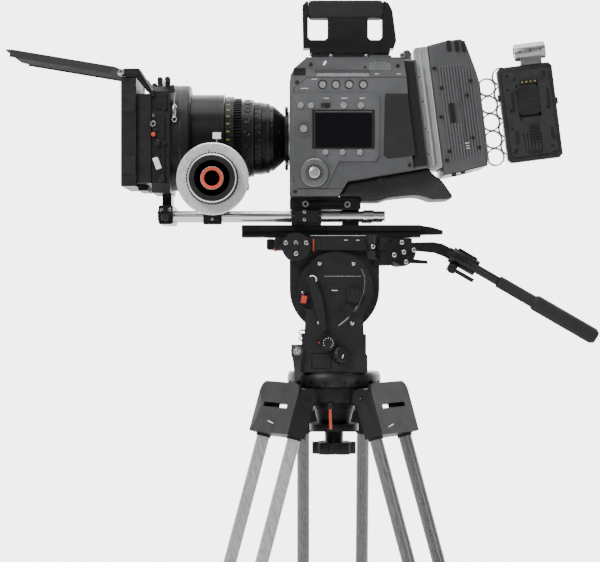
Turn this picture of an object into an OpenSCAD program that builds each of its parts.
// Digital cine camera with lens, matte box, follow focus, docked recorder and battery plate,
// carried by a fluid head on a twin-tube tripod. Millimetres, +Z up, lens pointing along -X.

/* [Tripod] */
// Height of the crown's top face above the floor
crown_h = 640; // [600:5:700]
// Lean of each leg from vertical, in degrees
leg_lean = 17; // [14:1:20]
// Distance from the pan axis to each leg's hinge pin
hinge_r = 80; // [78:1:90]
// Distance between the two tubes of a leg
tube_gap = 95; // [90:1:100]
// Outer diameter of a leg tube
tube_d = 20; // [18:1:22]

/* [Head] */
// Height of the tilt axis above the crown
tilt_h = 149; // [145:1:155]
// Radius of the tilting drum
drum_r = 68.5; // [66:0.5:70]
// Length of the camera sliding plate
plate_l = 274; // [240:1:300]

/* [Camera] */
// Height of the lens axis above the sliding plate
lens_h = 135; // [130:1:140]
// Width of the camera body across its two side panels
body_w = 206; // [190:1:220]
// Diameter of the two support rods
rod_d = 15; // [15:1:19]
// Distance between the two support rods
rod_gap = 100; // [90:1:100]
// Forward lean of the docked recorder and battery plate, in degrees
dock_lean = 7.3; // [5:0.1:9]

/* [Lens] */
// Radius of the front barrel
lens_r = 67.6; // [60:0.1:68]
// Teeth on the focus ring
focus_teeth = 76; // [72:4:76]
// Teeth on the drive gear of the follow focus
drive_teeth = 19; // [18:1:19]
// Tooth size: pitch diameter divided by tooth count
gear_module = 1.6; // [1.5:0.1:1.6]

/* [Matte box] */
// Width of the hood's front opening frame
hood_w = 200; // [180:1:210]
// Length of the hinged top flag
flag_l = 176; // [150:1:180]
// Rise of the top flag above horizontal, in degrees
flag_rise = 9.5; // [0:0.5:30]

/* [Hidden] */
$fn = 72;

// Running clearance round a shaft, and the gap left between two bodies that only pass each other
fit = 0.05;
gap = 0.3;

// Heights of the main levels
tilt_z = crown_h + tilt_h;
deck_z = tilt_z + 98;
lens_z = deck_z + lens_h;
rod_z = lens_z - 121.4;
rod_r = rod_d / 2;
rod_y = rod_gap / 2;
body_half = body_w / 2;

// The whole model is moved so that its box is centred over the origin
bar_slope = 30;
bar_joint_x = 150;
grip_end = 283;
grip_end_r = 9;
foot_pad_r = 25;
ear_out = 60;
tube_end = 560;
yoke_low = tube_end + 38;
yoke_t = 13;
hinge_z = crown_h - 16;
foot_r = hinge_r + hinge_z * tan(leg_lean) - 3;
front_x = -324 - flag_l * cos(flag_rise) + 5 * sin(flag_rise);
bar_end_x = bar_joint_x + grip_end * cos(bar_slope) + grip_end_r * sin(bar_slope);
shift_x = -(front_x + bar_end_x) / 2;
yoke_r = hinge_r + yoke_t * cos(leg_lean) + yoke_low * sin(leg_lean);
near_y = yoke_r * sin(30) + ear_out * cos(30);
shift_y = -(foot_r + foot_pad_r - near_y) / 2;
wheel_y = 164;

module rig() { translate([shift_x, shift_y, 0]) children(); }

// ---------- helpers ----------
// Extrudes an outline drawn in X and Z from y0 to y1
module prism_y(y0, y1) {
  translate([0, y1, 0]) rotate([90, 0, 0]) linear_extrude(y1 - y0) children();
}
module cyl_y(x, z, y0, y1, r) { translate([x, y1, z]) rotate([90, 0, 0]) cylinder(r = r, h = y1 - y0); }
module cyl_x(x0, x1, y, z, r) { translate([x0, y, z]) rotate([0, 90, 0]) cylinder(r = r, h = x1 - x0); }
module box(x0, x1, y0, y1, z0, z1) { translate([x0, y0, z0]) cube([x1 - x0, y1 - y0, z1 - z0]); }
// A box with its four edges along Y cut off
module box_y(x0, x1, y0, y1, z0, z1, c) {
  prism_y(y0, y1) polygon([
    [x0 + c, z0], [x1 - c, z0], [x1, z0 + c], [x1, z1 - c],
    [x1 - c, z1], [x0 + c, z1], [x0, z1 - c], [x0, z0 + c]
  ]);
}
// A turned part on an axis along X; the outline is [distance along X, radius]
module turned_x(y, z, outline) {
  translate([0, y, z]) rotate([0, 90, 0]) rotate([0, 0, 90])
    rotate_extrude() polygon([for (p = outline) [p[1], p[0]]]);
}
// A turned part on an axis along -Y; the outline is [distance towards -Y, radius]
module turned_y(x, z, outline) {
  translate([x, 0, z]) rotate([90, 0, 0]) rotate_extrude() polygon([for (p = outline) [p[1], p[0]]]);
}
// An outline with evenly spaced straight-sided teeth
function tooth_points(n, m) = [
  for (i = [0 : n - 1], k = [0 : 3])
    let (a = (i + [-0.33, -0.12, 0.12, 0.33][k]) * 360 / n,
         r = n * m / 2 + [-1.15, 0.75, 0.75, -1.15][k] * m)
    [r * cos(a), r * sin(a)]
];

// ---------- tripod ----------
leg_angles = [210, 330, 90];
ear_in = 40;
ear_r = 15;
pin_r = 5;
tube_r = tube_d / 2;
inner_r = tube_r - 2;

module at_leg(i) { rotate([0, 0, leg_angles[i]]) children(); }
module leg_frame(i) { at_leg(i) translate([hinge_r, 0, hinge_z]) rotate([0, -leg_lean, 0]) children(); }
module cyl_t(r, t0, t1) { translate([0, t1, 0]) rotate([90, 0, 0]) cylinder(r = r, h = t1 - t0); }

module crown() {
  color("#26272a") rig() difference() {
    union() {
      translate([0, 0, crown_h - 24]) cylinder(r = 66, h = 24);
      translate([0, 0, crown_h - 36]) cylinder(r = 32, h = 14);
      translate([0, 0, crown_h - 59]) cylinder(r1 = 25, r2 = 31, h = 24);
      translate([0, 0, crown_h - 70]) cylinder(r = 38, h = 11);
      for (i = [0 : 2]) at_leg(i) {
        translate([38, -ear_in + 2, crown_h - 29]) cube([hinge_r - 38, 2 * ear_in - 4, 24]);
        translate([hinge_r, 0, hinge_z]) cyl_t(13, -ear_in + gap, ear_in - gap);
        translate([hinge_r, 0, hinge_z]) cyl_t(pin_r, -ear_out + 1, ear_out - 1);
      }
    }
    translate([0, 0, crown_h - 71]) cylinder(r = 9 + fit, h = 72);
  }
}

module tie_down_knob() {
  color("#1b1c1e") rig() {
    translate([0, 0, crown_h - 94]) cylinder(r = 9, h = 84);
    difference() {
      union() {
        translate([0, 0, crown_h - 92]) cylinder(r = 14.3, h = 92 - 70.5);
        translate([0, 0, crown_h - 106]) cylinder(r = 34, h = 18);
      }
      translate([0, 0, crown_h - 94]) cylinder(r = 8.9, h = 84);
      for (a = [30 : 60 : 330]) rotate([0, 0, a]) translate([40, 0, crown_h - 107]) cylinder(r = 12, h = 20);
    }
  }
}

module leg_upper(i) {
  color("#55575a") rig() leg_frame(i) difference() {
    union() {
      // outer cheek of the casting, its cross body and the two ears
      translate([14, 0, 0]) rotate([90, 0, 90]) linear_extrude(6) polygon(casting_outline());
      translate([-11, -ear_out, -62]) cube([26, 2 * ear_out, 36]);
      for (s = [-1, 1]) {
        cyl_t_side(s, ear_r);
        translate([0, s * (ear_in + ear_out) / 2 - (ear_out - ear_in) / 2 + s * gap / 2, -40])
          cube([15, ear_out - ear_in - gap, 50]);
        translate([-ear_r + 4, s * (ear_in + ear_out) / 2 - (ear_out - ear_in) / 2 + s * gap / 2, -62])
          cube([22, ear_out - ear_in - gap, 62]);
        translate([0, s * tube_gap / 2, -66]) cylinder(r = 11.5, h = 6);
        translate([0, s * tube_gap / 2, -tube_end]) cylinder(r = tube_r, h = tube_end - 60);
        translate([0, s * tube_gap / 2, -tube_end]) cylinder(r = 14, h = 42);
      }
      translate([-6, -tube_gap / 2, -tube_end + 8]) cube([12, tube_gap, 26]);
      translate([5, -9, -tube_end + 12]) cube([19, 18, 18]);
    }
    for (s = [-1, 1])
      translate([0, s * tube_gap / 2, -tube_end - 1]) cylinder(r = inner_r + fit, h = tube_end - 139);
    cyl_t(pin_r + fit, -ear_out - 1, ear_out + 1);
    translate([-20, -36, -22]) cube([50, 72, 7]);
  }
}
module cyl_t_side(s, r) {
  if (s > 0) cyl_t(r, ear_in + gap, ear_out);
  else cyl_t(r, -ear_out, -ear_in - gap);
}
function casting_outline() = [
  [-ear_out, -62], [ear_out, -62],
  for (a = [0 : 15 : 90]) [ear_out - 16 + 16 * cos(a), 2 + 16 * sin(a)],
  for (a = [90 : 15 : 180]) [-ear_out + 16 + 16 * cos(a), 2 + 16 * sin(a)]
];

module leg_lower(i) {
  color("#3a3b3d") rig() difference() {
    leg_frame(i) {
      for (s = [-1, 1]) translate([0, s * tube_gap / 2, -tube_end - 12])
        cylinder(r = inner_r, h = tube_end + 12 - 145);
      translate([-yoke_t, -ear_out, -yoke_low]) cube([2 * yoke_t, 2 * ear_out, 37]);
      translate([-10, 0, 0]) rotate([90, 0, 90]) linear_extrude(20)
        polygon([[-44, -tube_end - 36], [44, -tube_end - 36], [14, -tube_end - 64], [-14, -tube_end - 64]]);
      translate([0, 0, -700]) cylinder(r = 11, h = 700 - tube_end - 30);
    }
    at_leg(i) translate([hinge_r + 100, -100, -80]) cube([200, 200, 80 + 12]);
  }
}

module foot(i) {
  color("#161616") rig() at_leg(i) translate([foot_r, 0, 0]) {
    cylinder(r = foot_pad_r, h = 4);
    translate([0, 0, 4]) cylinder(r1 = foot_pad_r, r2 = 16, h = 8);
  }
}

// ---------- fluid head ----------
plate_half = 52;
cheek_y = 64;
base_top = crown_h + 21.5;

module head_base() {
  color("#2c2d2f") rig() difference() {
    union() {
      translate([0, 0, crown_h]) cylinder(r = 72, h = 16);
      translate([0, 0, crown_h + 16]) cylinder(r1 = 72, r2 = 69, h = 5.5);
    }
    translate([0, 0, crown_h + 3]) cylinder(r = 15 + fit, h = 20);
    for (a = [0 : 20 : 340]) rotate([0, 0, a]) translate([69, -4, crown_h - 1]) cube([5, 8, 9]);
  }
}

// Side cheek: a round cover joined to a tapering neck
module cheek_outline() {
  translate([2, tilt_z]) circle(r = 57);
  polygon([
    [-52, base_top + 0.5], [50, base_top + 0.5], [50, base_top + 26], [44, base_top + 34],
    [44, tilt_z - 40], [-44, tilt_z - 36], [-46, base_top + 50], [-52, base_top + 30]
  ]);
}

module pan_housing() {
  color("#333436") rig() {
    difference() {
      union() {
        translate([0, 0, crown_h + 4]) cylinder(r = 15, h = 24);
        box(-50, 48, -cheek_y, cheek_y, base_top + 0.5, tilt_z - drum_r - 1);
        prism_y(-cheek_y, -plate_half) cheek_outline();
        prism_y(plate_half, cheek_y) cheek_outline();
        cyl_y(0, tilt_z, -cheek_y + 1, cheek_y - 1, 12);
        box(-66, -49, -63, -34, tilt_z - 103, tilt_z - 85);
      }
      // recess for the brake lever's slot and the rectangular access cover
      cyl_y(-38, tilt_z - 18, -cheek_y - 1, -cheek_y + 3, 13);
      box(-35, -5, -cheek_y - 1, -cheek_y + 1, base_top + 6, base_top + 30);
      cyl_y(-10, tilt_z - 83, -cheek_y - 1, -cheek_y + 8, 4 + fit);
      cyl_y(-36, tilt_z + 13, -cheek_y - 1, -cheek_y + 8, 4 + fit);
      knob_turn() translate([0, 0, -9]) cylinder(r = 4 + fit, h = 16);
      cyl_y(-57, tilt_z - 94, -64, -38, 4 + fit);
    }
    // access cover, hex plate under the drag knob, vials and screws
    box(-34, -6, -cheek_y - 1.5, -cheek_y + 1, base_top + 7, base_top + 29);
    difference() {
      prism_y(-cheek_y - 3, -cheek_y) translate([-12, tilt_z - 83]) circle(r = 17, $fn = 6);
      cyl_y(-10, tilt_z - 83, -cheek_y - 4, -cheek_y + 1, 4 + fit);
    }
    cyl_y(30, tilt_z - 9, -cheek_y - 8, -cheek_y, 11.7);
    cyl_y(20, tilt_z - 32, -cheek_y - 5, -cheek_y, 9);
    box(-51, -42, -cheek_y - 5, -cheek_y, tilt_z - 23, tilt_z - 11);
    for (p = [[-24, 38.5], [29, 38], [27, -47]]) cyl_y(p[0], tilt_z + p[1], -cheek_y - 1.5, -cheek_y, 3.2);
  }
}
// Axis of the balance knob, which points outwards, up and to the rear
module knob_turn() {
  translate([0, -cheek_y, tilt_z - 104.5]) rotate([0, 0, 35]) rotate([75, 0, 0]) children();
}

module pan_brake_lever() {
  color("#a9aaac") rig() {
    cyl_y(-57, tilt_z - 94, -67, -40, 4);
    cyl_y(-57, tilt_z - 94, -78, -66, 9.5);
    prism_y(-75, -67) polygon([
      [-66, tilt_z - 96], [-48, tilt_z - 96], [-51, tilt_z - 112], [-52.5, tilt_z - 136], [-56, tilt_z - 140],
      [-60.5, tilt_z - 137], [-63, tilt_z - 112]
    ]);
  }
}

module pan_drag_knob() {
  color("#2a2b2c") rig() {
    cyl_y(-10, tilt_z - 83, -cheek_y - 4, -cheek_y + 7, 4);
    difference() {
      cyl_y(-10, tilt_z - 83, -cheek_y - 17, -cheek_y - 3.5, 10.6);
      cyl_y(-10, tilt_z - 83, -cheek_y - 4, -cheek_y, 3.9);
      for (a = [0 : 30 : 330]) translate([-10, 0, tilt_z - 83]) rotate([0, a, 0])
        cyl_y(11.8, 0, -cheek_y - 18, -cheek_y, 1.8);
    }
  }
}

module balance_knob() {
  color("#232425") rig() knob_turn() {
    translate([0, 0, -8]) cylinder(r = 4, h = 20);
    difference() {
      union() {
        translate([0, 0, 11.5]) cylinder(r = 13.5, h = 9);
        translate([0, 0, 20.5]) cylinder(r1 = 13.5, r2 = 11, h = 2.5);
      }
      for (a = [0 : 30 : 330]) rotate([0, 0, a]) translate([14.6, 0, 11]) cylinder(r = 2.2, h = 14);
    }
  }
}

module tilt_brake_lever() {
  color("#3c3d3f") rig() {
    cyl_y(-36, tilt_z + 13, -cheek_y - 9, -cheek_y + 7, 4);
    difference() {
      prism_y(-cheek_y - 14, -cheek_y - 8.5) {
        translate([-36, tilt_z + 13]) circle(r = 8);
        polygon([
          for (k = [0 : 8]) let (t = k / 8)
            [-36 + 8 * cos(35 - 20 * t) * (1 - t) + 22 * t * t + 12 * sin(180 * t) * 0.8, tilt_z + 17 - 79 * t],
          for (k = [8 : -1 : 0]) let (t = k / 8)
            [-40 + 20 * t * t + 4 * sin(180 * t), tilt_z + 9 - 71 * t]
        ]);
      }
      cyl_y(-36, tilt_z + 13, -cheek_y - 9, -cheek_y, 3.9);
    }
  }
}

rosette_r = 21.7;
front_rosette = [-58.7, 64];
rear_rosette = [101, 56];
platform_z = deck_z - 19;

module tilt_body() {
  color("#2f3032") rig() {
    difference() {
      union() {
        cyl_y(0, tilt_z, -plate_half + 0.5, plate_half - 0.5, drum_r);
        box(-drum_r, drum_r, -plate_half + 0.5, plate_half - 0.5, tilt_z, platform_z - 10);
        box_y(-92, 84, -cheek_y, cheek_y, platform_z - 20, platform_z - 0.2, 3);
        prism_y(-60, 60) polygon([
          [60, tilt_z + 36], [84, tilt_z + 36], [112, tilt_z + 42], [118, tilt_z + 60],
          [118, platform_z - 2], [80, platform_z - 0.2], [60, platform_z - 0.2]
        ]);
      }
      cyl_y(0, tilt_z, -plate_half, plate_half, 12 + fit);
      // the round covers stand clear under the platform
      cyl_y(2, tilt_z, -cheek_y - 1, -plate_half + 0.4, 58);
      cyl_y(2, tilt_z, plate_half - 0.4, cheek_y + 1, 58);
    }
    for (s = [-1, 1]) {
      rosette(front_rosette[0], tilt_z + front_rosette[1], s, cheek_y);
      rosette(rear_rosette[0], tilt_z + rear_rosette[1], s, 60);
    }
    box(-26, -22, -cheek_y - 2, -cheek_y, platform_z - 18, platform_z - 1);
    box_y(-104, -92, -30, 30, platform_z - 19, platform_z - 2, 2);
  }
}
// Toothed round seat for a pan bar, on side s, with four bolt heads
module rosette(x, z, s, y_in) {
  y0 = s > 0 ? y_in : -rosette_y;
  y1 = s > 0 ? rosette_y : -y_in;
  cyl_y(x, z, y0, y1, rosette_r);
  if (s > 0) {
    for (a = [0 : 90 : 270]) cyl_y(x + 13 * cos(a), z + 13 * sin(a), rosette_y, rosette_y + 2, 3);
  } else if (x < 0) {
    for (a = [0 : 90 : 270]) cyl_y(x + 13 * cos(a), z + 13 * sin(a), -rosette_y - 2, -rosette_y, 3);
    cyl_y(x, z, -rosette_y - 2.5, -rosette_y, 4.5);
  }
}
rosette_y = 78;

module slide_plate() {
  color("#1e1f20") rig() difference() {
    union() {
      box(-142, -142 + plate_l, -44, 44, platform_z + 0.2, deck_z);
      prism_y(-30, 30) polygon([
        [-143 + plate_l, platform_z + 4], [167, platform_z + 5], [167, deck_z - 8],
        [150, deck_z - 3], [-143 + plate_l, deck_z]
      ]);
    }
    for (s = [-1, 1]) prism_y(s * 44 - 5, s * 44 + 5) polygon([
      [-150, platform_z + 5], [180, platform_z + 5], [180, platform_z + 10], [-150, platform_z + 10]
    ]);
  }
}

// ---------- pan bar ----------
bar_y = -86;
bar_r = 6.8;
bar_joint = [bar_joint_x, tilt_z + 67.7];
module bar_frame() {
  translate([bar_joint[0], bar_y, bar_joint[1]]) rotate([0, 90 + bar_slope, 0]) children();
}

module pan_bar() {
  color("#17181a") rig() {
    // seat on the rear rosette, curved neck and the inner tube
    rx = rear_rosette[0];
    rz = tilt_z + rear_rosette[1];
    difference() {
      cyl_y(rx, rz, -96, -rosette_y - gap, 20);
      for (a = [0 : 90 : 270]) cyl_y(rx + 13 * cos(a), rz + 13 * sin(a), -97, -94, 4);
    }
    for (a = [0 : 90 : 270]) cyl_y(rx + 13 * cos(a), rz + 13 * sin(a), -95.5, -93.5, 3.2);
    cyl_y(rx, rz, -98, -95, 4.5);
    difference() {
      prism_y(-94, -79) polygon([
        [rx + 6, rz + 14], [148, rz + 15], [162, rz + 12.5], [174, rz + 6], [183, rz - 1], [177, rz - 12],
        [160, rz - 5], [150, rz - 1.5], [126, rz + 1], [rx + 12, rz]
      ]);
      cyl_y(rx, rz, -97, -78, 19.5);
    }
    prism_y(-91, -84) polygon([
      [rx + 12, rz - 10], [rx + 39, rz - 13], [rx + 39, rz - 18], [rx + 12, rz - 17]
    ]);
    bar_frame() difference() {
      union() {
        translate([0, 0, 24]) cylinder(r = 9, h = 8);
        translate([0, 0, 30]) cylinder(r = 12.5, h = 44);
        translate([-14.5, -5, 36]) cube([10, 10, 32]);
        translate([11, -8, 34]) cube([13, 16, 14]);
        translate([0, 0, 70]) cylinder(r = bar_r, h = 200);
      }
      translate([19, -10, 41]) rotate([-90, 0, 0]) cylinder(r = 3 + fit, h = 22);
    }
  }
}

module pan_bar_lever() {
  color("#242527") rig() bar_frame() {
    translate([19, -18, 41]) rotate([-90, 0, 0]) cylinder(r = 3, h = 28);
    translate([19, -19, 41]) rotate([-90, 0, 0]) cylinder(r = 7, h = 10.6);
    translate([16, -17, 46]) cube([6, 7, 32]);
  }
}

module pan_bar_grip() {
  color("#1c1d1f") rig() bar_frame() {
    difference() {
      union() {
        translate([0, 0, 112]) cylinder(r = 9.2, h = 62);
        translate([0, 0, 172]) cylinder(r1 = 9.2, r2 = 12.2, h = 5);
        translate([0, 0, 177]) cylinder(r = 12.2, h = grip_end - 183);
        translate([0, 0, grip_end - 6]) cylinder(r1 = 12.2, r2 = grip_end_r, h = 6);
      }
      translate([0, 0, 110]) cylinder(r = bar_r + fit, h = 164);
    }
  }
}

// ---------- camera base ----------
module rod_holes(x0, x1) { for (s = [-1, 1]) cyl_x(x0, x1, s * rod_y, rod_z, rod_r); }

riser_z = lens_z - 112;
body_z = lens_z - 93;

module riser_plate() {
  color("#232426") rig() difference() {
    box_y(-68.5, 40, -56, 56, riser_z, body_z, 2);
    for (x = riser_hole_x) cyl_y(x, (riser_z + body_z) / 2 - 1, -57, 57, 3.2);
  }
}
riser_hole_x = [-45.7, 19.3];

module rod_bridge() {
  color("#1f2022") rig() difference() {
    union() {
      box_y(-66, -20, -66, 66, deck_z, riser_z, 1.5);
      box(12, 38, -34, 34, deck_z, riser_z);
      box(-60, -26, -71, -66, rod_z - 9, rod_z + 7);
    }
    rod_holes(-70, -10);
    for (s = [-1, 1]) box(-67, -19, s * 63 - 6, s * 63 + 6, rod_z - 1, rod_z + 1);
  }
}

rod_front = -270;
rod_rear = 77;
module support_rods() {
  color("#c9cbce") rig() {
    rod_holes(rod_front, rod_rear);
    for (s = [-1, 1]) difference() {
      cyl_x(44, 60, s * rod_y, rod_z, rod_r + 1.6);
      cyl_x(43, 61, s * rod_y, rod_z, rod_r);
    }
  }
}

// ---------- camera body ----------
shell_half = body_half - 5;
body_top = lens_z + 113;
function dock_line(z) = 143 - (z - dock_z) * tan(dock_lean);
dock_z = lens_z - 49.5;

module body_outline(inset = 0) {
  polygon([
    [-68.5 + inset, body_z + inset], [6 - inset, body_z + inset], [19.5 - inset, body_z + 22 + inset],
    [dock_line(dock_z) - inset, dock_z + inset], [dock_line(body_top) - inset, body_top - inset],
    [-46 + inset, body_top - inset], [-62 + inset, body_top - 14 - inset], [-68.5 + inset, body_top - 32]
  ]);
}

module body_shell() {
  color("#4a4b4e") rig() difference() {
    prism_y(-shell_half, shell_half) body_outline();
    prism_y(-shell_half - 1, shell_half + 1) body_outline(5);
    cyl_x(-70, -62, 0, lens_z, 36);
  }
}

// Position of the controls on the near side panel: [x, z above the lens axis, radius]
assign_at = [for (x = [-18.6, 1.3, 21.3, 42.4]) [x, 74.5, 5.1]];
menu_at = [
  [-51.8, 43.3, 4.5], [-36.4, 43.3, 4.5], [12.7, 43.3, 5], [38.7, 43.3, 5],
  [-14.6, -27.2, 4.5], [10.9, -27.2, 4.5], [37.3, -27.2, 4.5]
];
rec_at = [-47.3, 8.2, 5.4];
dial_at = [-31, -57.7, 21.8];
display = [-30, 55.5, -20, 32.5];
switch_at = [-13.7, 43.3];
panel_y = body_half;
raised_y = body_half + 2;

module control_holes(list, y0, y1) {
  for (b = list) cyl_y(b[0], lens_z + b[1], y0, y1, b[2] + gap);
}

module panel_outline() {
  polygon([
    [-67.5, body_z + 1], [5.4, body_z + 1], [19, body_z + 23], [dock_line(dock_z) - 25, dock_z - 4],
    [dock_line(body_top - 26) - 18, body_top - 26], [-67.5, body_top - 26]
  ]);
}
module raised_outline() {
  polygon([
    [-65, body_z + 34], [-65, lens_z + 62], [60, lens_z + 62], [67, lens_z + 55], [67, lens_z - 32],
    [61, lens_z - 41], [6, lens_z - 41], [-14, body_z + 12], [-55, body_z + 12]
  ]);
}

module side_panel() {
  color("#626467") rig() {
    difference() {
      union() {
        prism_y(-panel_y, -shell_half) panel_outline();
        prism_y(-raised_y, -panel_y) raised_outline();
      }
      control_holes(assign_at, -raised_y - 1, -shell_half + 1);
      control_holes(menu_at, -raised_y - 1, -shell_half + 1);
      control_holes([rec_at], -raised_y - 1, -shell_half + 1);
      cyl_y(dial_at[0], lens_z + dial_at[1], -raised_y - 1, -raised_y + 3, dial_at[2] + gap);
      cyl_y(dial_at[0], lens_z + dial_at[1], -raised_y - 1, -shell_half + 1, 6 + fit);
      box(display[0], display[1], -raised_y - 1, -raised_y + 2, lens_z + display[2], lens_z + display[3]);
      box(switch_at[0] - 7, switch_at[0] + 7, -raised_y - 1, -raised_y + 3,
          lens_z + switch_at[1] - 3.5, lens_z + switch_at[1] + 3.5);
    }
    // raised collar round the record button
    difference() {
      cyl_y(rec_at[0], lens_z + rec_at[1], -raised_y - 1.5, -raised_y, 11);
      cyl_y(rec_at[0], lens_z + rec_at[1], -raised_y - 2, -raised_y + 1, 9);
    }
  }
}

module far_panel() {
  color("#57595c") rig() {
    prism_y(shell_half, panel_y) panel_outline();
    difference() {
      box_y(-52, 60, panel_y, panel_y + 3, lens_z - 40, lens_z + 50, 6);
      box(-40, 48, panel_y + 1, panel_y + 4, lens_z - 28, lens_z + 38);
    }
    for (x = [-34 : 17 : 34]) cyl_y(x, lens_z + 62, panel_y, panel_y + 4, 6);
    for (x = [-30, -6, 18, 42]) cyl_y(x, lens_z - 58, panel_y, panel_y + 5, 8);
  }
}

module top_plate() {
  color("#5c5e61") rig() {
    difference() {
      prism_y(-panel_y, -shell_half) polygon([
        [-67.5, body_top - 26], [dock_line(body_top - 26) - 18, body_top - 26],
        [dock_line(body_top) - 19, body_top], [-46, body_top], [-61, body_top - 13], [-67.5, body_top - 25]
      ]);
      box(-29, 53, -panel_y - 1, -panel_y + 1.5, body_top - 22, body_top - 16);
    }
    prism_y(shell_half, panel_y) polygon([
      [-67.5, body_top - 26], [dock_line(body_top - 26) - 18, body_top - 26],
      [dock_line(body_top) - 19, body_top], [-46, body_top], [-61, body_top - 13], [-67.5, body_top - 25]
    ]);
    // deck, raised lid at the rear and the mount for a viewfinder arm
    box(-45, 116, -84, 84, body_top, body_top + 5);
    box_y(52, 86, -80, -30, body_top + 5, body_top + 8, 1.5);
    cyl_y(110, body_top + 4 + 7, -60, -30, 7);
    box(103, 116, -58, -32, body_top + 5, body_top + 9);
  }
}

module display_window() {
  color("#08090b") rig()
    box(display[0], display[1], -raised_y - 0.6, -raised_y + 2, lens_z + display[2], lens_z + display[3]);
}

module button_set(list, proud, face) {
  for (b = list) {
    cyl_y(b[0], lens_z + b[1], -face - proud, -shell_half - 2, b[2]);
  }
}
module rec_button() { color("#b9bbbd") rig() button_set([rec_at], 3, raised_y); }
module assign_buttons() { color("#b9bbbd") rig() button_set(assign_at, 2.5, panel_y); }
module menu_buttons() { color("#b9bbbd") rig() button_set(menu_at, 2.5, raised_y); }

module menu_dial() {
  color("#3b3c3e") rig() {
    cyl_y(dial_at[0], lens_z + dial_at[1], -raised_y - 2, -shell_half - 0.5, 6);
    difference() {
      turned_y(dial_at[0], lens_z + dial_at[1], [
        [raised_y - 2.7, 5.9], [raised_y - 2.7, dial_at[2]], [raised_y + 2, dial_at[2]],
        [raised_y + 4, dial_at[2] - 2], [raised_y + 4, 14], [raised_y + 2, 12], [raised_y + 2, 5.9]
      ]);
      for (a = [0 : 15 : 345]) translate([dial_at[0], 0, lens_z + dial_at[1]]) rotate([0, a, 0])
        cyl_y(dial_at[2] + 0.6, 0, -raised_y - 5, -raised_y + 0.2, 1.2);
    }
    cyl_y(dial_at[0], lens_z + dial_at[1], -raised_y - 3.5, -raised_y - 2, 7.5);
  }
}

module select_switch() {
  color("#1a1b1c") rig()
    box_y(switch_at[0] - 3.5, switch_at[0] + 3.5, -raised_y - 2.5, -raised_y + 2.7,
          lens_z + switch_at[1] - 3.2, lens_z + switch_at[1] + 3.2, 0.8);
}

// ---------- lens mount ----------
module lens_mount() {
  color("#8e9092") rig() difference() {
    turned_x(0, lens_z, [[-69.8, 30], [-69.8, 41.4], [-68.5, 41.4], [-68.5, 35.9], [-62, 35.9], [-62, 30]]);
    for (a = [45 : 90 : 315]) cyl_x(-71, -69, 38.5 * cos(a), lens_z + 38.5 * sin(a), 1.5);
  }
}
module mount_ring() {
  color("#2b2c2e") rig() {
    turned_x(0, lens_z, [[-76, 34.8], [-76, 40], [-75, 41.4], [-70.1, 41.4], [-70.1, 34.8]]);
    for (a = [20, 200]) translate([0, 0, lens_z]) rotate([a, 0, 0]) box(-76, -71, -4.5, 4.5, 40, 50);
  }
}

// ---------- lens ----------
module lens_body() {
  color("#1b1c1d") rig() turned_x(0, lens_z, [
    [-248, 56], [-248, 66.5], [-247, lens_r], [-169, lens_r], [-168.3, 66.5], [-168.3, 58],
    [-142.3, 58], [-142.3, 59.2], [-124, 59.2], [-123, 58.2], [-123, 52], [-111.2, 52],
    [-111.2, 55.6], [-106, 54.3], [-99.4, 54.3], [-98.8, 50.5], [-93.6, 50.5], [-93, 49.8], [-76.3, 34.7],
    [-70, 34.7], [-70, 29.9], [-61, 29.9], [-61, 26], [-230, 26], [-230, 56]
  ]);
}
module focus_ring() {
  color("#232425") rig() difference() {
    union() {
      turned_x(0, lens_z, [[-168, 0], [-168, 63.8], [-167.4, 64.5], [-154, 64.5], [-153.4, 63], [-153.4, 0]]);
      translate([-153.6, 0, lens_z]) rotate([0, 90, 0])
        linear_extrude(11) polygon(tooth_points(focus_teeth, gear_module));
    }
    cyl_x(-170, -140, 0, lens_z, 58 + fit);
  }
}
module iris_ring() {
  color("#202122") rig() difference() {
    turned_x(0, lens_z, [
      [-122.7, 52 + fit], [-122.7, 55.5], [-122, 56], [-112.2, 56], [-111.5, 55.5], [-111.5, 52 + fit]
    ]);
    for (a = [0 : 10 : 350]) translate([0, 0, lens_z]) rotate([a, 0, 0]) box(-123, -115, -1, 1, 55.2, 57);
  }
}
module lens_glass() {
  color("#12202c") rig() {
    turned_x(0, lens_z, [
      [-230, 0], [-230, 55.9], [-234, 55.9],
      for (k = [1 : 8]) [-234 - 6 * sin(k * 11.25), 55.9 * cos(k * 11.25)]
    ]);
  }
}

// ---------- matte box ----------
stage_front = -277.5;
stage_back = -249.6;
hood_top = lens_z + 85;
hood_low = lens_z - 78;

module matte_hood() {
  color("#141516") rig() difference() {
    union() {
      box(-322.5, -299.5, -hood_w / 2, hood_w / 2, hood_low, hood_top);
      box(-299.5, stage_front, -hood_w / 2 + 8, hood_w / 2 - 8, hood_low + 5, lens_z + 62);
      box(-299.5, -286, -60, 60, hood_low - 5, hood_low + 5);
    }
    box(-323.5, -318, -hood_w / 2 + 4, hood_w / 2 - 4, hood_low + 4, hood_top - 4);
    box(-319, -303, -hood_w / 2 + 10, hood_w / 2 - 10, hood_low + 9, hood_top - 9);
    box(-304, -290, -84, 84, lens_z - 64, lens_z + 56);
    box(-291, stage_front + 1, -76, 76, lens_z - 58, lens_z + 54);
  }
}

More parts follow.
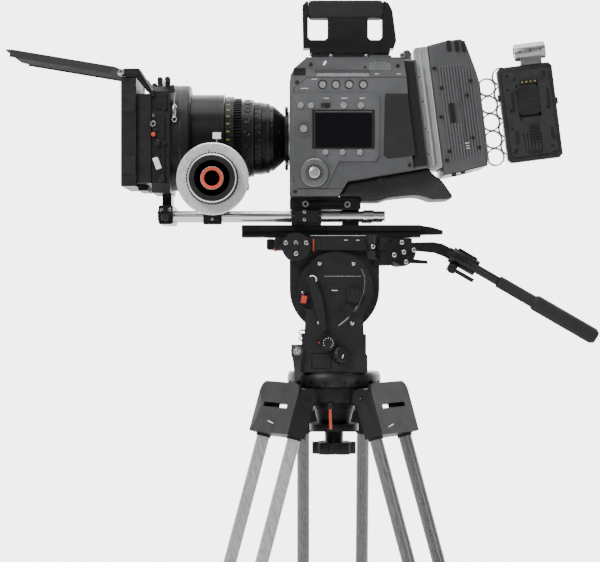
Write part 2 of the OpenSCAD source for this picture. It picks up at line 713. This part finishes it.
tray_x = [-269, -261];
module filter_stage() {
  color("#1a1b1c") rig() {
    difference() {
      union() {
        prism_stage(stage_front, stage_back, 88, 74);
        for (s = [-1, 1]) {
          box_y(-257, stage_back, s * 70 - 8, s * 70 + 8, lens_z + 66, lens_z + 89, 2);
          box_y(stage_front, -270, s * 62 - 6, s * 62 + 6, lens_z + 66, lens_z + 80, 2);
        }
      }
      box(stage_front - 1, stage_back + 1, -70, 70, lens_z - 58, lens_z + 54);
      box(tray_x[0], tray_x[1], -80, 80, lens_z - 74, lens_z + 90);
    }
    // back wall with a round opening, and the adapter ring on the lens barrel
    turned_x(0, lens_z, [
      [stage_back, lens_r + fit], [stage_back, 81.5], [-224, 81.5], [-221, 79.5], [-220, 76],
      [-220, lens_r + fit]
    ]);
    for (p = [[-271, 8, 3.5], [-257, -12, 3], [-268, -30, 4], [-258, 40, 3]])
      cyl_y(p[0], lens_z + p[1], -94, -88, p[2]);
  }
}
// Chamfered frame plate seen along X
module prism_stage(x0, x1, hy, top) {
  translate([x0, 0, lens_z]) rotate([90, 0, 90]) linear_extrude(x1 - x0) polygon([
    [-hy, -73], [-hy + 14, -87], [hy - 14, -87], [hy, -73], [hy, top - 8], [hy - 8, top], [-hy + 8, top],
    [-hy, top - 8]
  ]);
}

module filter_tray() {
  color("#0f1011") rig() {
    difference() {
      box(tray_x[0] + gap, tray_x[1] - gap, -79, 79, lens_z - 73, lens_z + 76);
      box(tray_x[0] - 1, tray_x[1] + 1, -66, 66, lens_z - 54, lens_z + 54);
    }
    box(tray_x[0] + 2.5, tray_x[1] - 2.5, -66, 66, lens_z - 54, lens_z + 54);
    box_y(tray_x[0] + gap, tray_x[1] - gap, -78, 40, lens_z + 76, lens_z + 88.5, 1.5);
  }
}

module matte_bracket() {
  color("#222325") rig() {
    difference() {
      union() {
        box_y(-268, -246, -66, 66, rod_z - 13, rod_z + 16, 2);
        box_y(-264, -250, -34, 34, rod_z + 15, lens_z - 87, 1);
        box(-268, -246, -71, -66, rod_z - 8, rod_z + 8);
      }
      rod_holes(-272, -240);
    }
    for (x = [-262, -252]) cyl_y(x, rod_z, -75, -71, 4);
  }
}

flag_hinge = [-324, lens_z + 93];
module flag_bracket() {
  color("#2e2f31") rig() {
    for (s = [-1, 1]) difference() {
      prism_y(s > 0 ? 92 : -98, s > 0 ? 98 : -92) {
        translate(flag_hinge) circle(r = 4.5);
        polygon([
          [-324, lens_z + 88.5], [-306, lens_z + 86], [-299, lens_z + 85.5], [-299, lens_z + 83.8],
          [-280, lens_z + 66],
          [-280, lens_z + 60], [-272, lens_z + 60], [-272, lens_z + 66], [-295, lens_z + 99.5],
          [-316, lens_z + 99.5], [-324, lens_z + 97.5]
        ]);
      }
      cyl_y(flag_hinge[0], flag_hinge[1], -101, 101, 2 + fit);
    }
    for (s = [-1, 1]) box(-316, -300, s * 84 - 8, s * 84 + 8, lens_z + 85, lens_z + 88);
    for (s = [-1, 1]) box(-277, -272, s > 0 ? 88 : -98, s > 0 ? 98 : -88, lens_z + 58, lens_z + 64);
  }
}

flag_w = 230;
module top_flag() {
  color("#3a3c3e") rig() {
    translate([flag_hinge[0], 0, flag_hinge[1]]) {
      translate([0, 100, 0]) rotate([90, 0, 0]) cylinder(r = 2, h = 200);
      translate([0, 91, 0]) rotate([90, 0, 0]) cylinder(r = 4.2, h = 182);
      for (s = [-1, 1]) translate([0, s * 102, 0]) rotate([90, 0, 0]) cylinder(r = 4, h = 6, center = true);
      rotate([0, flag_rise, 0]) {
        translate([-flag_l, 0, 5]) linear_extrude(1.5) polygon([
          [0, -flag_w / 2 + 18], [14, -flag_w / 2], [flag_l - 8, -flag_w / 2], [flag_l - 2, -88],
          [flag_l - 2, 88], [flag_l - 8, flag_w / 2], [14, flag_w / 2], [0, flag_w / 2 - 18]
        ]);
        translate([-flag_l + 10, -flag_w / 2, -5]) cube([flag_l - 22, 1.5, 10.5]);
        translate([-flag_l + 10, flag_w / 2 - 1.5, 3]) cube([flag_l - 22, 1.5, 2.5]);
        for (s = [-1, 1]) translate([-6, s * 70 - 14, -2]) cube([8, 28, 7.5]);
      }
    }
  }
}

// ---------- follow focus ----------
wheel_at = [-183, lens_z - 68.5];
drive_dist = (focus_teeth + drive_teeth) * gear_module / 2;
drive_dir = 220;
drive_at = [drive_dist * cos(drive_dir), lens_z + drive_dist * sin(drive_dir)];
gearbox_y = 128;

module ff_gearbox() {
  color("#1c1d1e") rig() difference() {
    union() {
      box(-200, -160, -gearbox_y, -52, lens_z - 97, lens_z - 56);
      box(-200, -160, -gearbox_y, -68, lens_z - 60, lens_z - 40);
      cyl_x(-176, -157, drive_at[0], drive_at[1], 7.4);
      box(-200, -172, -64, -36, rod_z - 13, lens_z - 96);
      box(-160, -130, -96, -82, lens_z - 84, lens_z - 72);
      cyl_y(-136, lens_z - 78, -112, -96, 6);
      box(-179, -175, -gearbox_y - 3, -gearbox_y, lens_z - 42, lens_z - 6);
      box(-183, -170.5, -gearbox_y - 3, -gearbox_y - 1, lens_z - 8, lens_z + 1.5);
      box(-196, -176, -71, -64, rod_z - 8, rod_z + 8);
    }
    rod_holes(-210, -150);
    cyl_y(wheel_at[0], wheel_at[1], -gearbox_y - 1, -80, 5 + fit);
    cyl_x(-174, -150, drive_at[0], drive_at[1], 3 + fit);
  }
}

module ff_wheel() {
  color("#cfd1d2") rig() {
    cyl_y(wheel_at[0], wheel_at[1], -134, -81, 5);
    turned_y(wheel_at[0], wheel_at[1], [
      [131.5, 4.9], [131.5, 52.5], [133, 54], [137, 54], [138.5, 52.5], [138.5, 38], [157, 37.4],
      [wheel_y - 2, 36], [wheel_y, 33], [wheel_y, 27], [wheel_y - 5, 26], [wheel_y - 5, 18],
      [wheel_y - 3, 17], [wheel_y - 3, 12], [wheel_y - 8, 10], [wheel_y - 8, 0], [133, 0], [133, 4.9]
    ]);
  }
}

module ff_gear() {
  color("#b08d57") rig() {
    cyl_x(-172, -143, drive_at[0], drive_at[1], 3);
    difference() {
      translate([-153, drive_at[0], drive_at[1]]) rotate([0, 90, 0])
        linear_extrude(10.5) rotate(tooth_phase) polygon(tooth_points(drive_teeth, gear_module));
      cyl_x(-156, -140, drive_at[0], drive_at[1], 2.9);
    }
  }
}
// The outline's own zero direction points down after it is laid along X, so both gears are turned
// until a tooth of one faces a gap of the other along the line between their axes
tooth_phase = gear_phase();
function gear_phase() = let (
  toward = atan2(drive_at[0], -(drive_at[1] - lens_z)),
  focus_frac = toward / (360 / focus_teeth),
  back = toward + 180,
  offset = (focus_frac - floor(focus_frac)) * 360 / drive_teeth
) back + 180 / drive_teeth + offset;

// ---------- handle ----------
handle_top = lens_z + 212;
module handle_frame() {
  color("#1d1e20") rig() {
    rail_z = body_top + 25;
    difference() {
      prism_y(-17, 17) polygon([
        [-48, rail_z], [92, rail_z], [96, rail_z + 12], [90, rail_z + 58], [84, handle_top - 4],
        [78, handle_top - 1],
        [76, handle_top - 1], [76, handle_top - 25], [60, handle_top - 27], [-40, handle_top - 27],
        [-40, handle_top - 1], [-43, handle_top - 1], [-49, handle_top - 8]
      ]);
      box_y(-40.5, -10, -18, 18, rail_z + 13, handle_top - 20, 4);
      box_y(52, 74, -18, 18, rail_z + 13, handle_top - 20, 4);
    }
    box(-38, 86, -24, 24, rail_z - 8, rail_z);
    for (x = [-34, 70]) box_y(x, x + 14, -20, 20, body_top + 5, rail_z - 8, 1);
    for (x = [-5, 48]) translate([x, -24, rail_z - 4]) rotate([90, 0, 0]) cylinder(r = 3.4, h = 1.5);
  }
}
module handle_grip() {
  color("#2a2b2d") rig() box_y(-39.9, 75.9, -18, 18, handle_top - 26.9, handle_top, 3.5);
}

// ---------- shoulder pad ----------
module shoulder_pad() {
  color("#1b1b1c") rig() difference() {
    prism_y(-72, 72) polygon([
      [19.5, body_z + 22], [dock_line(dock_z), dock_z], [150, dock_z - 8], [164, dock_z - 18],
      [181, body_z + 1], [177, body_z - 4], [142, body_z - 5], [108, body_z + 1], [81, body_z - 2],
      [70, body_z - 6.5], [41, body_z - 6.5], [41, body_z + 0.2], [6.3, body_z + 0.2]
    ]);
    cyl_y(120, body_z - 55, -73, 73, 57);
  }
}

// ---------- docked recorder and battery ----------
module dock_frame() { translate([143, 0, dock_z]) rotate([0, -dock_lean, 0]) children(); }
rec_half = 75;

module dock_plate() {
  color("#c4c6c8") rig() dock_frame() difference() {
    box_y(0, 20.5, -rec_half, rec_half, -2, 184, 2);
    for (z = [60, 120]) box(-1, 3, -rec_half + 20, rec_half - 20, z, z + 14);
    box(8, 12, -rec_half - 1, -rec_half + 3, 4, 178);
  }
}

module recorder_outline(inset = 0) {
  polygon([
    [20.5 + inset, -14 + inset], [53, -12 + inset], [89 - inset, -7 + inset], [93 - inset, 116],
    [89.5 - inset, 137], [79.5 - inset, 179.5 - inset], [72.5 - inset, 188 - inset], [46.5, 188 - inset],
    [20.5 + inset, 184 - inset]
  ]);
}
module recorder_case() {
  color("#55575a") rig() dock_frame() difference() {
    prism_y(-rec_half, rec_half) recorder_outline();
    prism_y(-rec_half - 1, rec_half - 5) recorder_outline(5);
    for (k = [0 : 2]) box(49 + 10 * k, 54.5 + 10 * k, -58, 58, 176, 190);
    for (k = [0 : 1]) box(44 + 17 * k, 56 + 17 * k, -20, 20, -15, -9);
  }
}
module recorder_cover() {
  color("#6a6c6f") rig() dock_frame() {
    difference() {
      prism_y(-rec_half - 3, -rec_half) recorder_outline(2);
      box(50, 60, -rec_half - 4, -rec_half - 1, 62, 92);
    }
    for (k = [0 : 11]) difference() {
      box(33 + 4.4 * k, 35.2 + 4.4 * k, -rec_half - 5.5, -rec_half - 3,
        8 + (k > 9 ? 4 : 0), 150 - (k > 7 ? 8 : 0));
      box(49, 61, -rec_half - 6, -rec_half - 2, 60, 94);
    }
  }
}

cell_r = 14;
cell_pitch = 27.2;
module battery_bracket() {
  color("#e2e4e6") rig() dock_frame() difference() {
    union() {
      box(88.5, 97, -22, 22, 2, 118);
      for (k = [0 : 4]) cyl_y(109, 7 + cell_pitch * k, -6, 6, cell_r);
      for (k = [0 : 4]) cyl_y(132.6, 20.6 + cell_pitch * k, -6, 6, cell_r);
      for (k = [0 : 3]) cyl_y(156.2, 34.2 + cell_pitch * k, -6, 6, cell_r);
    }
    for (k = [0 : 4]) cyl_y(109, 7 + cell_pitch * k, -7, 7, cell_r - 2);
    for (k = [0 : 4]) cyl_y(132.6, 20.6 + cell_pitch * k, -7, 7, cell_r - 2);
    prism_y(-30, 30) polygon([[70, -40], [87.93, -40], [89, -7], [93, 116], [92.6, 119.5], [70, 119.5]]);
  }
}

plate_u = [122.6, 206.6];
plate_w = [-7.8, 138.2];
module battery_plate() {
  color("#2c2d2f") rig() dock_frame() difference() {
    union() {
      box_y(plate_u[0], plate_u[1], -56, -38, plate_w[0], plate_w[1], 5);
      box_y(plate_u[0] + 6, plate_u[1] - 6, -60, -56, plate_w[0] + 8, plate_w[1] - 8, 4);
      box(plate_u[0] + 20, plate_u[1] - 20, -38, -6, 40, 100);
      for (s = [0, 1]) box(plate_u[s] - 3, plate_u[s] + 3, -52, -44, 88 - 14 * s, 98 - 14 * s);
    }
    box(latch_u[0] - gap, latch_u[1] + gap, -61, -53, latch_w[0] - gap - 3, latch_w[1] + gap);
    for (x = [plate_u[0] + 14, plate_u[1] - 14], z = [10, 70, 124]) cyl_y(x, z, -61, -58, 2.6);
    for (k = [0 : 5]) box(150 + 5 * k, 152 + 5 * k, -61, -58.5, 4, 34);
  }
}
latch_u = [148, 181];
latch_w = [62, 108];
module battery_latch() {
  color("#1f2021") rig() dock_frame() difference() {
    box_y(latch_u[0], latch_u[1], -62, -53.3, latch_w[0], latch_w[1], 4);
    for (k = [0 : 3])
      box(latch_u[0] + 6, latch_u[1] - 6, -63, -61, latch_w[0] + 6 + 4 * k, latch_w[0] + 8 + 4 * k);
  }
}

socket_at = [176, 158.5];
socket_r = 9.5;
module rod_socket() {
  color("#b4b6b8") rig() dock_frame() difference() {
    union() {
      translate([socket_at[0] - 23, -50, socket_at[1]]) rotate([0, 90, 0]) cylinder(r = 13, h = 46);
      box(socket_at[0] - 16, socket_at[0] + 16, -60, -40, plate_w[1], socket_at[1]);
      }
    translate([socket_at[0] - 24, -50, socket_at[1]]) rotate([0, 90, 0]) cylinder(r = socket_r, h = 48);
  }
}

// ---------- assembly ----------
crown();
tie_down_knob();
leg_upper(0);  // leg_upper_1
leg_upper(1);  // leg_upper_2
leg_upper(2);  // leg_upper_3
leg_lower(0);  // leg_lower_1
leg_lower(1);  // leg_lower_2
leg_lower(2);  // leg_lower_3
foot(0);  // foot_1
foot(1);  // foot_2
foot(2);  // foot_3
head_base();
pan_housing();
pan_brake_lever();
pan_drag_knob();
balance_knob();
tilt_brake_lever();
tilt_body();
slide_plate();
pan_bar();
pan_bar_lever();
pan_bar_grip();
riser_plate();
rod_bridge();
support_rods();
body_shell();
side_panel();
far_panel();
top_plate();
display_window();
rec_button();
assign_buttons();
menu_buttons();
menu_dial();
select_switch();
lens_mount();
mount_ring();
handle_frame();
handle_grip();
shoulder_pad();
dock_plate();
recorder_case();
recorder_cover();
battery_bracket();
battery_plate();
battery_latch();
rod_socket();
lens_body();
focus_ring();
iris_ring();
lens_glass();
matte_hood();
filter_stage();
filter_tray();
matte_bracket();
flag_bracket();
top_flag();
ff_gearbox();
ff_wheel();
ff_gear();
